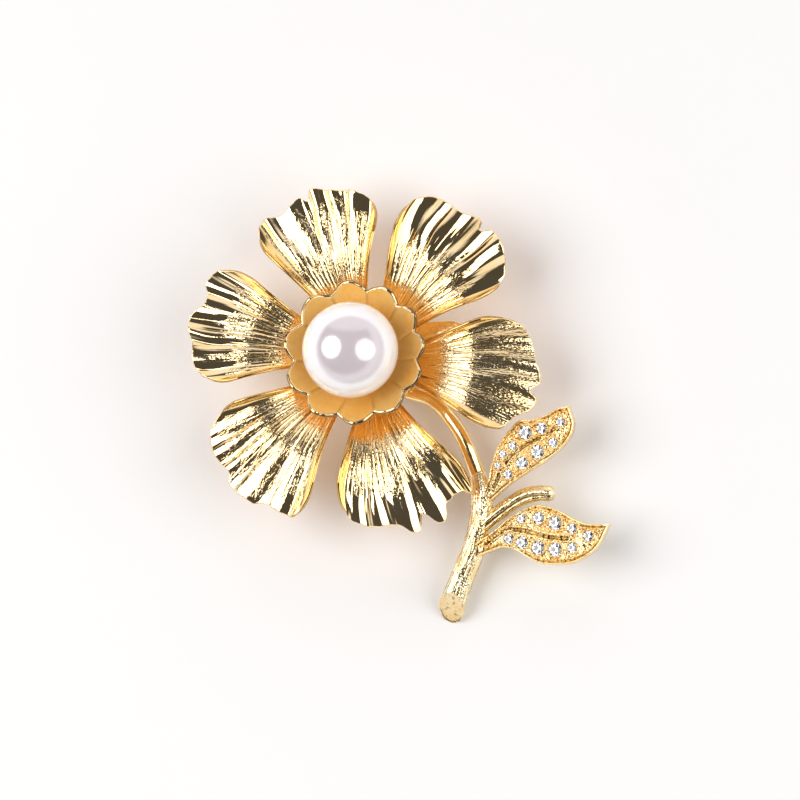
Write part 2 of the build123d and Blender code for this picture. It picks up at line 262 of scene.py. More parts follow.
def catmull(points, steps):
    # a smooth line through points of any length, as lists of numbers
    result = []
    last = len(points) - 1
    for i in range(steps + 1):
        t = i / steps * last
        k = min(int(t), last - 1)
        t -= k
        p0, p1, p2, p3 = (points[min(max(k + d, 0), last)] for d in (-1, 0, 1, 2))
        row = []
        for a, b, c, d in zip(p0, p1, p2, p3):
            value = 2 * b + (c - a) * t + (2 * a - 5 * b + 4 * c - d) * t * t
            value += (3 * b - a - 3 * c + d) * t * t * t
            row.append(value / 2)
        result.append(row)
    return result


def readAt(points, x):
    # the height of a line through (x, y) points, eased smoothly between them
    last = len(points) - 1
    k = 0
    while k < last - 1 and x > points[k + 1][0]:
        k += 1
    (x0, y0), (x1, y1) = points[k], points[k + 1]
    t = min(max((x - x0) / (x1 - x0), 0.0), 1.0)
    before, after = points[max(k - 1, 0)], points[min(k + 2, last)]
    slope0 = (y1 - before[1]) / (x1 - before[0]) if k > 0 else (y1 - y0) / (x1 - x0)
    slope1 = (after[1] - y0) / (after[0] - x0) if k + 2 <= last else (y1 - y0) / (x1 - x0)
    span = x1 - x0
    value = y0 * (1 + 2 * t) * (1 - t) ** 2 + slope0 * span * t * (1 - t) ** 2
    return value + y1 * t * t * (3 - 2 * t) + slope1 * span * t * t * (t - 1)


def ease(low, high, x):
    t = min(max((x - low) / (high - low), 0.0), 1.0)
    return t * t * (3 - 2 * t)


def jitter(*numbers):
    # smooth noise from -1 to 1, the same on every run
    return noise.noise(Vector((numbers + (0.0, 0.0))[:3]))


# ---- camera, floor and light

cameraSet = {
    "back": Vector((0.2100, -0.1364, 0.9681)),  # from the brooch to the camera
    "right": Vector((0.9772, 0.0, -0.2119)),
    "aim": (4.18, -4.98),  # how far right and up of the pearl's axis the picture is centred
    "lens": 150.0,
    "field": 101.7,  # width of the picture at the flower
}


def placeCamera():
    back = cameraSet["back"].normalized()
    right = (cameraSet["right"] - back * cameraSet["right"].dot(back)).normalized()
    up = back.cross(right)
    target = right * cameraSet["aim"][0] + up * cameraSet["aim"][1]
    data = bpy.data.cameras.new("studioCamera")
    data.lens = cameraSet["lens"]
    data.clip_start = 0.01
    data.clip_end = 10.0
    distance = cameraSet["field"] * data.lens / data.sensor_width
    turn = Matrix((right, up, back)).transposed().to_4x4()
    camera = bpy.data.objects.new("studioCamera", data)
    camera.matrix_world = Matrix.Translation((target + back * distance) * mm) @ turn
    scene.collection.objects.link(camera)
    scene.camera = camera
    return right, up, back


cameraRight, cameraUp, cameraBack = placeCamera()

lightSet = {
    "key": {"turn": 46.0, "lift": 0.10, "size": 0.58, "power": 2.88, "colour": (1.0, 0.985, 0.96)},
    "fill": {"turn": -37.0, "lift": 0.0, "size": 0.58, "power": 2.14, "colour": (1.0, 0.99, 0.97)},
    "distance": 0.62,
    "dark": 0.075,  # brightness of the room round the camera
    "wall": 1.05,  # and of its pale far wall
    "horizon": 1.20,
}


def placeSoftbox(name):
    # a round light: its turn is in degrees to the left of the camera
    spec = lightSet[name]
    data = bpy.data.lights.new(name + "Softbox", "AREA")
    data.shape = "DISK"
    data.size = spec["size"]
    data.energy = spec["power"]
    data.color = spec["colour"]
    box = bpy.data.objects.new(name + "Softbox", data)
    angle = math.radians(spec["turn"])
    away = cameraBack * math.cos(angle) - cameraRight * math.sin(angle) + cameraUp * spec["lift"]
    away.normalize()
    box.location = away * lightSet["distance"]
    box.rotation_euler = away.to_track_quat("Z", "Y").to_euler()
    scene.collection.objects.link(box)


placeSoftbox("key")
placeSoftbox("fill")


def buildStudioSky():
    # a dark room with a pale wall beyond the object and light along the table's edge
    world = bpy.data.worlds.new("studioSky")
    world.use_nodes = True
    tree = world.node_tree
    tree.nodes.clear()
    direction = Field(tree, addNode(tree, "ShaderNodeTexCoord").outputs["Generated"])

    def along(axis):
        dot = addNode(tree, "ShaderNodeVectorMath", operation="DOT_PRODUCT")
        plug(tree, dot.inputs[0], direction)
        dot.inputs[1].default_value = axis
        return Field(tree, dot.outputs["Value"])

    wall = smoothStep(along(cameraUp), 0.62, 0.80) * lightSet["wall"]
    low = smoothStep(along(Vector((0, 0, 1))), 0.18, 0.52, 1.0, 0.0) * lightSet["horizon"]
    level = maths(tree, "MAXIMUM", maths(tree, "MAXIMUM", wall, low), lightSet["dark"])
    background = addNode(tree, "ShaderNodeBackground", {"Color": (0.985, 0.972, 1.0, 1)})
    plug(tree, background.inputs["Strength"], level)
    out = addNode(tree, "ShaderNodeOutputWorld")
    tree.links.new(background.outputs[0], out.inputs[0])
    scene.world = world


buildStudioSky()


def newMaterial(name, **values):
    material = bpy.data.materials.new(name)
    material.use_nodes = True
    shader = material.node_tree.nodes["Principled BSDF"]
    for key, value in values.items():
        shader.inputs[key.replace("_", " ")].default_value = value
    return material, material.node_tree, shader


def layFloor():
    material, tree, shader = newMaterial("paleTable", Roughness=0.6, Specular_IOR_Level=0.25)
    place = Field(tree, addNode(tree, "ShaderNodeTexCoord").outputs["Object"])
    mottle = noiseField(tree, place, 6.0, 3.0)
    colour = mixColour(tree, mottle, (0.90, 0.895, 0.90, 1), (0.915, 0.91, 0.912, 1))
    plug(tree, shader.inputs["Base Color"], colour)
    side = 1500.0  # half the table, in millimetres
    z = tableHeight / mm
    corners = [(-side, -side, z), (side, -side, z), (side, side, z), (-side, side, z)]
    floor = newPiece("tableTop", corners, [(0, 1, 2, 3)], material)


layFloor()
print("camera, light and floor placed")


# ---- effects shared by the metals

def buildPlatingTone():
    # slow shifts of the plating's colour, deeper where the polish is thin
    inputs = {"Vector": ("NodeSocketVector", (0, 0, 0)), "Pale": ("NodeSocketColor", (1, 1, 1, 1)),
              "Deep": ("NodeSocketColor", (1, 1, 1, 1)), "Scale": ("NodeSocketFloat", 200.0)}
    tree, fields, taken = newTree("platingTone", "ShaderNodeTree", inputs, {"Color": "NodeSocketColor"})
    cloud = noiseField(tree, fields["Vector"], fields["Scale"], 4.0, 0.6)
    fine = noiseField(tree, fields["Vector"], fields["Scale"] * 9.0, 2.0)
    share = smoothStep(cloud * 0.75 + fine * 0.25, 0.38, 0.62)
    colour = mixColour(tree, share, fields["Pale"], fields["Deep"])
    tree.links.new(colour.socket, taken.inputs[0])
    return tree


def buildPolishWear():
    # fine rub marks and pits: a height for bump and a roughness that follows it
    inputs = {"Vector": ("NodeSocketVector", (0, 0, 0)), "Smooth": ("NodeSocketFloat", 0.08),
              "Rough": ("NodeSocketFloat", 0.3), "Scale": ("NodeSocketFloat", 3000.0)}
    outputs = {"Height": "NodeSocketFloat", "Roughness": "NodeSocketFloat"}
    tree, fields, taken = newTree("polishWear", "ShaderNodeTree", inputs, outputs)
    grain = noiseField(tree, fields["Vector"], fields["Scale"], 0.8, 0.5)
    patches = noiseField(tree, fields["Vector"], fields["Scale"] * 0.12, 2.0)
    dull = smoothStep(patches * 0.6 + grain * 0.4, 0.42, 0.62)
    rough = fields["Smooth"] + dull * (fields["Rough"] - fields["Smooth"])
    tree.links.new(grain.socket, taken.inputs[0])
    tree.links.new(rough.socket, taken.inputs[1])
    return tree


platingTone = buildPlatingTone()
polishWear = buildPolishWear()


def useGroup(tree, group, values):
    node = addNode(tree, "ShaderNodeGroup", node_tree=group)
    for key, value in values.items():
        plug(tree, node.inputs[key], value)
    return [Field(tree, output) for output in node.outputs]


def plugBump(tree, shader, height, strength, distance):
    bump = addNode(tree, "ShaderNodeBump", {"Strength": strength, "Distance": distance, "Height": height})
    tree.links.new(bump.outputs[0], shader.inputs["Normal"])


def objectPlace(tree):
    return Field(tree, addNode(tree, "ShaderNodeTexCoord").outputs["Object"])


def uvPlace(tree, name):
    return Field(tree, addNode(tree, "ShaderNodeUVMap", uv_map=name).outputs[0])


def paintRecessShade(tree, colour, share=0.9):
    # painted shade: recesses, creases and grooves are darkened to brown where the mesh's attribute says
    sunk = Field(tree, addNode(tree, "ShaderNodeAttribute", attribute_name="sunk").outputs["Fac"])
    return mixColour(tree, sunk * share, colour, (0.12, 0.062, 0.022, 1))


def castGold(name, pale, deep, smooth, rough, grainScale=3000.0, bump=0.25, depth=0.00004, metallic=1.0,
             recessShade=True):
    material, tree, shader = newMaterial(name, Metallic=metallic)
    place = objectPlace(tree)
    colour, = useGroup(tree, platingTone, {"Vector": place, "Pale": pale, "Deep": deep, "Scale": 260.0})
    height, roughness = useGroup(tree, polishWear, {"Vector": place, "Smooth": smooth, "Rough": rough,
                                                    "Scale": grainScale})
    # painted shade in the recesses, unless the finish is made without it
    if recessShade:
        colour = paintRecessShade(tree, colour)
    plug(tree, shader.inputs["Base Color"], colour)
    plug(tree, shader.inputs["Roughness"], roughness)
    plugBump(tree, shader, height, bump, depth)
    return material


def petalGold():
    # struck lines from the foot to the shoulder, mirror flutes at the rim, smooth rolled sides
    material, tree, shader = newMaterial("struckPetalGold", Metallic=1.0)
    place = objectPlace(tree)
    across, along = split(tree, uvPlace(tree, "petalUv"))[:2]
    side = smoothStep(maths(tree, "ABSOLUTE", across * 2.0 - 1.0), 0.76, 0.86)
    grainEnd = Field(tree, addNode(tree, "ShaderNodeAttribute", attribute_name="grainEnd").outputs["Fac"])
    broken = noiseField(tree, combine(tree, across * 14.0, along * 5.0, 0.0), 1.0, 4.0, 0.65)
    mirror = smoothStep(along - grainEnd + (broken - 0.5) * 0.8, -0.06, 0.10)
    lines = noiseField(tree, combine(tree, across * 60.0, along * 4.0, 0.0), 1.0, 1.0, 0.5)
    dashes = noiseField(tree, combine(tree, across * 125.0, along * 40.0, 4.0), 1.0, 0.4, 0.5)
    specks = noiseField(tree, place, 3800.0, 0.0)
    struck = (1.0 - mirror * 0.92) * (1.0 - side * 0.95)
    colour, = useGroup(tree, platingTone, {"Vector": place, "Pale": (1.0, 0.80, 0.47, 1),
                                           "Deep": (1.0, 0.73, 0.37, 1), "Scale": 240.0})
    # painted reflection: the foot and the rolled sides are tinted a deeper orange, as if lit by the gold
    # beside them; painted shade in the valleys below
    warm = smoothStep(along, 0.05, 0.40, 1.0, 0.0)
    colour = mixColour(tree, maths(tree, "MAXIMUM", warm * 0.35, side * 0.7), colour, (1.0, 0.66, 0.24, 1))
    plug(tree, shader.inputs["Base Color"], paintRecessShade(tree, colour, 0.75))
    rough = 0.05 + struck * smoothStep(dashes, 0.40, 0.62, 0.03, 0.14) + side * 0.10
    plug(tree, shader.inputs["Roughness"], rough)
    height = (lines * 0.6 + dashes * 0.5 + specks * 0.25) * struck
    plugBump(tree, shader, height, 1.0, 0.00008)
    return material


goldFinishes = {
    "petal": petalGold(),
    "calyx": castGold("satinCalyxGold", (1.0, 0.67, 0.22, 1), (1.0, 0.57, 0.13, 1), 0.30, 0.46, 2200.0,
                      0.35, 0.00005, 0.24),
    "back": castGold("petalBackGold", (1.0, 0.64, 0.22, 1), (0.98, 0.54, 0.14, 1), 0.26, 0.40, 2200.0, 0.3,
                     0.00004, 0.45, recessShade=False),
    "edge": castGold("shearedEdgeGold", (0.80, 0.50, 0.18, 1), (0.62, 0.36, 0.11, 1), 0.14, 0.26),
    "rim": castGold("polishedRimGold", (1.0, 0.78, 0.44, 1), (0.98, 0.70, 0.33, 1), 0.05, 0.12),
    "bark": castGold("barkGold", (1.0, 0.90, 0.62, 1), (1.0, 0.78, 0.42, 1), 0.16, 0.34, 3600.0, 1.0,
                     0.00007),
    "cut": castGold("cutEndGold", (0.98, 0.82, 0.50, 1), (0.92, 0.68, 0.34, 1), 0.34, 0.55, 2600.0, 0.9,
                    0.00010, 0.8),
    "leaf": castGold("leafGold", (1.0, 0.83, 0.48, 1), (1.0, 0.70, 0.30, 1), 0.10, 0.22, 3000.0, 1.0,
                     0.00010),
    "bead": castGold("beadGold", (1.0, 0.76, 0.40, 1), (0.98, 0.66, 0.27, 1), 0.08, 0.15),
    "finding": castGold("findingGold", (0.98, 0.79, 0.45, 1), (0.95, 0.71, 0.35, 1), 0.12, 0.26, 2400.0),
    "wire": castGold("drawnWireGold", (0.98, 0.80, 0.47, 1), (0.95, 0.72, 0.36, 1), 0.10, 0.20, 2800.0),
}
print("metals mixed")


# ---- petals: one rule, grown six times

petalSet = {
    "foot": 3.7, "reach": 22.5, "sheet": 0.42, "height": 2.32,
    "arch": 3.3, "crest": 0.62, "fallStart": 0.58, "ridges": 17.0, "ridgeHeight": 0.05,
    "curlStart": 0.72, "curlShare": 0.22, "curlTurn": 95.0,
    "lineDepth": 0.045, "across": 280, "along": 110,
}

# direction, half spread, flutes, their shift, fall at the rim, flute height, where the struck grain
# ends along the petal, and the rim as (share across, radius)
petals = {
    "petal_upper_left": (106.0, 25.5, 6.6, 0.4, -0.3, 0.26, 0.80, [
        (-1, 15.5), (-0.85, 18.8), (-0.6, 20.7), (-0.25, 21.3), (-0.02, 22.1), (0.08, 20.9),
        (0.17, 21.6), (0.42, 20.6), (0.68, 21.3), (0.85, 20.4), (1, 17.5)]),
    "petal_upper_right": (47.0, 25.5, 7.0, 1.9, 0.9, 0.26, 0.58, [
        (-1, 15.0), (-0.85, 19.6), (-0.6, 21.8), (-0.2, 23.0), (-0.1, 21.9), (0, 22.9),
        (0.25, 22.1), (0.5, 22.2), (0.75, 21.6), (0.9, 20.3), (1, 17.0)]),
    "petal_right": (-8.5, 22.5, 5.6, 3.0, 1.9, 0.17, 1.10, [
        (-1, 16.5), (-0.88, 20.1), (-0.6, 21.3), (-0.4, 23.0), (-0.27, 23.2), (-0.19, 22.3),
        (-0.05, 23.2), (0.25, 22.4), (0.6, 21.5), (0.8, 20.2), (1, 16.5)]),
    "petal_lower_right": (-72.5, 25.5, 6.4, 0.9, 1.7, 0.26, 0.66, [
        (-1, 16.5), (-0.85, 19.6), (-0.6, 21.4), (-0.15, 22.1), (0.03, 23.6), (0.15, 21.7),
        (0.32, 23.7), (0.5, 21.7), (0.68, 21.7), (0.84, 22.6), (1, 19.5)]),
    "petal_lower_left": (-134.0, 26.0, 6.2, 2.4, 0.6, 0.20, 0.86, [
        (-1, 16.5), (-0.88, 19.2), (-0.7, 21.3), (-0.34, 22.2), (-0.2, 22.0), (-0.07, 23.1),
        (0.25, 22.9), (0.45, 22.0), (0.75, 22.0), (0.9, 21.0), (1, 17.0)]),
    "petal_left": (167.0, 24.0, 5.6, 4.4, -0.5, 0.22, 0.66, [
        (-1, 15.5), (-0.8, 20.6), (-0.55, 21.8), (-0.3, 20.9), (-0.02, 22.4), (0.3, 21.5),
        (0.6, 21.0), (0.82, 19.2), (1, 15.5)]),
}
rimScale = 25.0  # the rim curve's full height, in millimetres


def rimCurve(tree, rim, share):
    node = addNode(tree, "ShaderNodeFloatCurve", {"Value": share})
    points = node.mapping.curves[0].points
    places = [((across + 1) / 2, radius / rimScale) for across, radius in rim]
    points[0].location = places[0]
    points[1].location = places[-1]
    for place in places[1:-1]:
        points.new(*place)
    for point in points:
        point.handle_type = "AUTO_CLAMPED"
    node.mapping.update()
    return Field(tree, node.outputs[0]) * rimScale


def buildPetalTree(name, rim):
    inputs = {
        "Direction": ("NodeSocketFloat", 0.0), "Spread": ("NodeSocketFloat", 0.45),
        "Flutes": ("NodeSocketFloat", 5.0), "Shift": ("NodeSocketFloat", 0.0),
        "Arch": ("NodeSocketFloat", 3.3), "Fall": ("NodeSocketFloat", 0.5),
        "Curl Share": ("NodeSocketFloat", 0.17), "Curl Turn": ("NodeSocketFloat", 2.2),
        "Flute Height": ("NodeSocketFloat", 0.3), "Line Depth": ("NodeSocketFloat", 0.05),
        "Ridges": ("NodeSocketFloat", 9.0), "Ridge Height": ("NodeSocketFloat", 0.05),
        "Grain End": ("NodeSocketFloat", 0.8),
        "Across": ("NodeSocketInt", 200), "Along": ("NodeSocketInt", 100),
        "Seed": ("NodeSocketFloat", 0.0),
    }
    tree, given, taken = geometryTree(name, inputs)
    grid = addNode(tree, "GeometryNodeMeshGrid", {"Size X": 2.0, "Size Y": 1.0})
    plug(tree, grid.inputs["Vertices X"], given["Across"])
    plug(tree, grid.inputs["Vertices Y"], given["Along"])
    place = Field(tree, addNode(tree, "GeometryNodeInputPosition").outputs[0])
    across, along = split(tree, place)[:2]
    along = along + 0.5
    foot, reach = petalSet["foot"], petalSet["reach"]
    ragged = noiseField(tree, combine(tree, across * 9.0, given["Seed"], 0.0), 1.0, 3.0) - 0.5
    edge = rimCurve(tree, rim, across * 0.5 + 0.5) + ragged * 0.5
    radius = foot + along * (edge - foot)
    out = (radius - foot) / (reach - foot)
    shortOut = maths(tree, "MINIMUM", out, 1.0)
    halfWidth = radius * given["Spread"] * smoothStep(out, 0.0, 0.85, 0.80, 1.0)
    roll = halfWidth * given["Curl Share"]
    openWidth = halfWidth - roll
    share = maths(tree, "ABSOLUTE", across)
    start = petalSet["curlStart"]
    most = given["Curl Turn"] * maths(tree, "SINE", (0.15 + shortOut * 0.75) * math.pi) ** 0.8
    turn = most * maths(tree, "MAXIMUM", (share - start) / (1 - start), 0.0)
    aside = openWidth * maths(tree, "MINIMUM", share / start, 1.0) + roll * maths(tree, "SINE", turn)
    lift = roll * (1.0 - maths(tree, "COSINE", turn))
    crest = maths(tree, "MINIMUM", out / petalSet["crest"], 1.0)
    arch = given["Arch"] * maths(tree, "SINE", crest * (math.pi / 2)) ** 1.6
    fallShare = maths(tree, "MAXIMUM", (out - petalSet["fallStart"]) / (1 - petalSet["fallStart"]), 0.0)
    fall = given["Fall"] * fallShare ** 1.5
    # ridges near the foot that widen into broad flutes at the rim, and struck lines between them
    sway = (noiseField(tree, combine(tree, across * 2.2, along * 1.6, given["Seed"]), 1.0, 1.0) - 0.5) * 0.5
    inside = 1.0 - share**6.0
    wave = maths(tree, "COSINE", (across + sway) * given["Flutes"] * math.pi + given["Shift"])
    flute = given["Flute Height"] * smoothStep(out, 0.22, 0.92) * inside * wave
    bend = noiseField(tree, combine(tree, across * 3.5, along * 0.8, given["Seed"] + 5.0), 1.0, 1.0)
    bend = (bend - 0.5) * 0.35
    ridgeWave = maths(tree, "COSINE", (across + bend) * given["Ridges"] * math.pi)
    ridge = given["Ridge Height"] * ridgeWave * inside * smoothStep(out, 0.45, 0.75, 1.0, 0.0)
    broad = noiseField(tree, combine(tree, across * 13.0, along * 1.3, given["Seed"] + 7.0), 1.0, 2.0) - 0.5
    fine = noiseField(tree, combine(tree, across * 40.0, along * 2.2, given["Seed"] + 3.0), 1.0, 2.0) - 0.5
    fade = smoothStep(out, 0.55, 0.90, 1.0, 0.12) * smoothStep(share, 0.70, 0.78, 1.0, 0.0)
    lines = given["Line Depth"] * (fine * 2.4 * fade + broad * 3.0 * inside)
    # painted shade: the valleys between the ridges near the foot are darkened, in patches
    ridged = smoothStep(out, 0.40, 0.66, 1.0, 0.0) * smoothStep(share, 0.70, 0.80, 1.0, 0.0)
    patchy = noiseField(tree, combine(tree, across * 5.0, along * 7.0, given["Seed"] + 9.0), 1.0, 2.0)
    sunk = smoothStep(ridgeWave, -0.9, -0.2, 1.0, 0.0) * ridged * smoothStep(patchy, 0.40, 0.58)
    angle = given["Direction"] + maths(tree, "SIGN", across) * aside / radius
    height = petalSet["height"] + arch - fall + lift + flute + ridge + lines
    spot = combine(tree, radius * maths(tree, "COSINE", angle) * mm,
                   radius * maths(tree, "SINE", angle) * mm, height * mm)
    mesh = Field(tree, grid.outputs["Mesh"])
    place = combine(tree, across * 0.5 + 0.5, along, 0.0)
    mesh = storeField(tree, mesh, "petalUv", "FLOAT2", "CORNER", place)
    mesh = storeField(tree, mesh, "grainEnd", "FLOAT", "POINT", given["Grain End"])
    mesh = storeField(tree, mesh, "sunk", "FLOAT", "POINT", sunk)
    shaped = addNode(tree, "GeometryNodeSetPosition", {"Geometry": mesh, "Position": spot})
    flipped = addNode(tree, "GeometryNodeFlipFaces")
    tree.links.new(shaped.outputs[0], flipped.inputs["Mesh"])
    smooth = addNode(tree, "GeometryNodeSetShadeSmooth")
    tree.links.new(flipped.outputs[0], smooth.inputs[0])
    finishTree(tree, given, taken, Field(tree, smooth.outputs[0]))
    return tree


def makePetals():
    for seed, (node, values) in enumerate(petals.items()):
        direction, spread, flutes, shift, fall, fluteHeight, grainEnd, rim = values
        piece = newPiece(node.replace("_", "-"), [], [])
        growMesh(piece, buildPetalTree(node + "Rule", rim), {
            "Direction": math.radians(direction), "Spread": math.radians(spread), "Flutes": flutes,
            "Shift": shift, "Arch": petalSet["arch"], "Fall": fall,
            "Curl Share": petalSet["curlShare"], "Curl Turn": math.radians(petalSet["curlTurn"]),
            "Flute Height": fluteHeight, "Grain End": grainEnd, "Line Depth": petalSet["lineDepth"],
            "Ridges": petalSet["ridges"], "Ridge Height": petalSet["ridgeHeight"],
            "Across": petalSet["across"], "Along": petalSet["along"], "Seed": 11.0 * seed,
            "Finish": goldFinishes["petal"],
        })
        sheet = piece.modifiers.new("sheet", "SOLIDIFY")
        sheet.thickness = petalSet["sheet"] * mm
        sheet.offset = 0.0
        sheet.use_even_offset = False
        sheet.material_offset = 1
        sheet.material_offset_rim = 2
        piece.data.materials.append(goldFinishes["back"])
        piece.data.materials.append(goldFinishes["edge"])
        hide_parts(node)
        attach(piece, "brooch")


makePetals()
print("petals grown")


# ---- pearl

def pearlGloss():
    material, tree, shader = newMaterial(
        "pearlGloss", Roughness=0.30, Specular_IOR_Level=0.5, Coat_Weight=1.0, Coat_Roughness=0.13,
        Coat_IOR=2.35, Subsurface_Weight=0.1, Subsurface_Radius=(0.6, 0.5, 0.45), Subsurface_Scale=0.001)
    place = objectPlace(tree)
    cloud = noiseField(tree, place, 180.0, 3.0)
    rose = mixColour(tree, cloud, (0.64, 0.57, 0.60, 1), (0.68, 0.60, 0.63, 1))
    # painted reflection: the pearl turns near-white towards its rim, as the mirrored pale table and wall
    # would make it
    facing = Field(tree, addNode(tree, "ShaderNodeLayerWeight", {"Blend": 0.5}).outputs["Facing"])
    colour = mixColour(tree, smoothStep(facing, 0.24, 0.34), rose, (0.95, 0.92, 0.93, 1))
    plug(tree, shader.inputs["Base Color"], colour)
    skinNoise = noiseField(tree, place, 2200.0, 2.0)
    plugBump(tree, shader, skinNoise, 0.05, 0.00003)
    return material


def makePearl():
    # very slightly out of round, with a drill hole for its peg below
    rings, sides = 96, 128
    holeRadius = 0.45
    loops = []
    start = math.asin(holeRadius / pearlRadius)
    for i in range(rings + 1):
        tilt = -math.pi / 2 + start + (math.pi - start) * i / rings * 0.9999
        loop = []
        for j in range(sides):
            turn = 2 * math.pi * j / sides
            ray = Vector((math.cos(tilt) * math.cos(turn), math.cos(tilt) * math.sin(turn), math.sin(tilt)))
            wobble = 1 + 0.0012 * jitter(ray.x * 1.7, ray.y * 1.7, ray.z * 1.7)
            loop.append(pearlCentre + ray * pearlRadius * wobble)
        loops.append(loop)
    well = [Vector((p.x, p.y, p.z)) + Vector((0, 0, 3.9)) for p in loops[0]]
    vertices, faces = skin([well] + loops, capStart=True, capEnd=True)
    piece = newPiece("pearlBall", vertices, faces, pearlGloss())
    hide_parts("pearl")
    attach(piece, "brooch")


makePearl()
print("pearl made")


# ---- calyx

calyxSet = {
    "lobes": [95, 62, 31, 5, -22, -54, -89, -123, -157, -191, -229],  # where each lobe points
    "valley": 7.55, "tip": 8.70, "lip": 0.29, "bossRadius": 3.2, "bossFoot": 2.02,
    "inner": [(0.0, 3.35), (2.6, 3.36), (5.0, 4.30), (6.9, 5.85), (9.1, 8.20)],
    "perLobe": 26, "rings": 46, "lipSteps": 8,
}


def lobeAt(degrees):
    # how far between two valleys an angle lies, from -1 to 1, and the lobe's number
    lobes = calyxSet["lobes"]
    count = len(lobes)
    for i, centre in enumerate(lobes):
        before = lobes[i - 1] + (360 if i == 0 else 0)
        after = lobes[(i + 1) % count] - (360 if i == count - 1 else 0)
        high, low = (centre + before) / 2, (centre + after) / 2
        for turn in (-360, 0, 360):
            angle = degrees + turn
            if low <= angle <= high:
                return (angle - centre) / ((high if angle > centre else low) - centre) * (
                    1 if angle > centre else -1), i
    return 1.0, 0


def makeCalyx():
    spec = calyxSet
    loops = []
    total = spec["perLobe"] * len(spec["lobes"])
    for k in range(total):
        degrees = -360 * k / total
        angle = math.radians(degrees)
        t, lobe = lobeAt(degrees)
        point = 1 - abs(t) ** (1.7 + 0.3 * jitter(lobe * 3.1))
        rim = spec["valley"] + (spec["tip"] + 0.2 * jitter(lobe * 5.3, 2.0) - spec["valley"]) * point
        rim += 0.10 * jitter(math.cos(angle) * 9.0, math.sin(angle) * 9.0, 6.0)
        loop = []
        lip = spec["lip"]
        inner = []
        for i in range(spec["rings"] + 1):
            r = rim * (i / spec["rings"])
            z = readAt(spec["inner"], r)
            far = ease(3.0, rim, r)
            z += 0.42 * far * abs(t) ** 4 - 0.12 * far * math.exp(-(((t - 0.15) / 0.10) ** 2))
            z += 0.05 * far * jitter(lobe * 4.0 + t * 4.0, r * 0.35, 1.0)
            inner.append((r, z))
        loop += inner
        (ra, za), (rb, zb) = inner[-2], inner[-1]
        run = Vector((rb - ra, zb - za)).normalized()
        side = Vector((run.y, -run.x))
        hub = Vector((rb, zb)) + side * lip
        for s in range(1, spec["lipSteps"]):  # the rolled lip
            a = math.pi * s / spec["lipSteps"]
            loop.append(tuple(hub - side * lip * math.cos(a) + run * lip * math.sin(a)))
        for i in range(spec["rings"], -1, -1):
            r, z = inner[i]
            thick = 2 * lip
            if r < spec["bossRadius"]:
                loop.append((r, spec["bossFoot"]))
            else:
                nearby = inner[min(i + 1, spec["rings"])], inner[i - 1]
                slope = Vector((nearby[0][0] - nearby[1][0], nearby[0][1] - nearby[1][1])).normalized()
                loop.append((r + slope.y * thick, z - slope.x * thick))
        loops.append([Vector((r * math.cos(angle), r * math.sin(angle), z)) for r, z in loop])
    vertices, faces = skin(loops, closeLoops=False, joinEnds=True)
    piece = newPiece("calyxCup", vertices, faces, goldFinishes["calyx"])
    piece.data.materials.append(goldFinishes["rim"])
    count = len(loops[0])
    rings = spec["rings"]
    lipCrest, lipEnd = rings + spec["lipSteps"] // 2, rings + spec["lipSteps"]
    for face in piece.data.polygons:  # the lip is polished
        column = min(v % count for v in face.vertices)
        if rings <= column <= lipEnd:
            face.material_index = 1
    # painted shade: the outer half of the rolled lip, a patchy band on its inner side below the crest, and
    # the lobes' creases towards the rim
    sunk = []
    for k in range(total):
        t, lobe = lobeAt(-360 * k / total)
        angle = -2 * math.pi * k / total
        crease = 0.4 * ease(0.86, 1.0, abs(t))
        lipShade = 0.95 * ease(-0.2, 0.2, jitter(math.cos(angle) * 6.0, math.sin(angle) * 6.0, 3.0))
        for i in range(count):
            if lipCrest <= i <= lipEnd:
                sunk.append(0.95)
            elif lipCrest - 2 <= i < lipCrest:
                sunk.append(lipShade)
            else:
                sunk.append(crease * ease(0.6, 0.95, i / rings) if i < rings else 0.0)
    markPaintedShade(piece, sunk)
    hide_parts("calyx_cup")
    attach(piece, "brooch")


makeCalyx()
print("calyx made")


# ---- stem, wire and twig

stemSet = {
    "path": [(14.3, -14.6, 0.3, 0.93), (14.7, -17.4, 0.1, 1.25), (14.4, -20.8, -0.5, 1.35),
             (13.3, -24.6, -1.3, 1.42), (11.55, -28.4, -2.1, 1.46), (9.55, -33.4, -3.05, 1.70)],
    "cut": (10.3, -31.4, -2.7), "slant": 46.0, "sides": 96, "steps": 150,
    # the cut face's rings, as a share of its outline and a height
    "face": [(0.97, 0.05), (0.93, -0.02), (0.86, -0.09), (0.80, -0.07), (0.65, -0.05), (0.5, -0.05),
             (0.35, -0.05), (0.2, -0.05), (0.08, -0.05)],
}
wireSet = {
    "path": [(1.5, -2.9, 0.09, 0.86), (5.0, -4.05, 0.09, 0.88), (8.6, -5.4, 0.15, 0.9),
             (11.2, -8.2, 0.8, 0.9), (13.0, -11.2, 0.95, 0.9), (14.3, -14.9, 0.3, 0.95)],
    "sides": 48, "steps": 110,
}
twigSet = {
    "path": [(15.0, -21.2, -0.4, 1.05), (16.8, -19.9, 0.0, 1.0), (18.5, -18.8, 0.4, 1.0),
             (20.3, -17.9, 0.75, 1.02), (22.2, -17.55, 1.0, 1.0), (24.3, -17.75, 1.2, 0.98)],
    "sides": 64, "steps": 150,
}


def ringsAlong(path, steps, sides, shape):
    # round sections on a smooth line; shape(angle, share) gives each one's radius as a factor
    line = catmull(path, steps)
    loops = []
    for i, (x, y, z, radius) in enumerate(line):
        here = Vector((x, y, z))
        before, after = Vector(line[max(i - 1, 0)][:3]), Vector(line[min(i + 1, steps)][:3])
        run = (after - before).normalized()
        side = run.cross(Vector((0, 0, 1))).normalized()
        up = side.cross(run)
        loop = []
        for k in range(sides):
            angle = 2 * math.pi * k / sides
            ray = side * math.cos(angle) + up * math.sin(angle)
            loop.append(here + ray * radius * shape(angle, i / steps))
        loops.append(loop)
    return loops


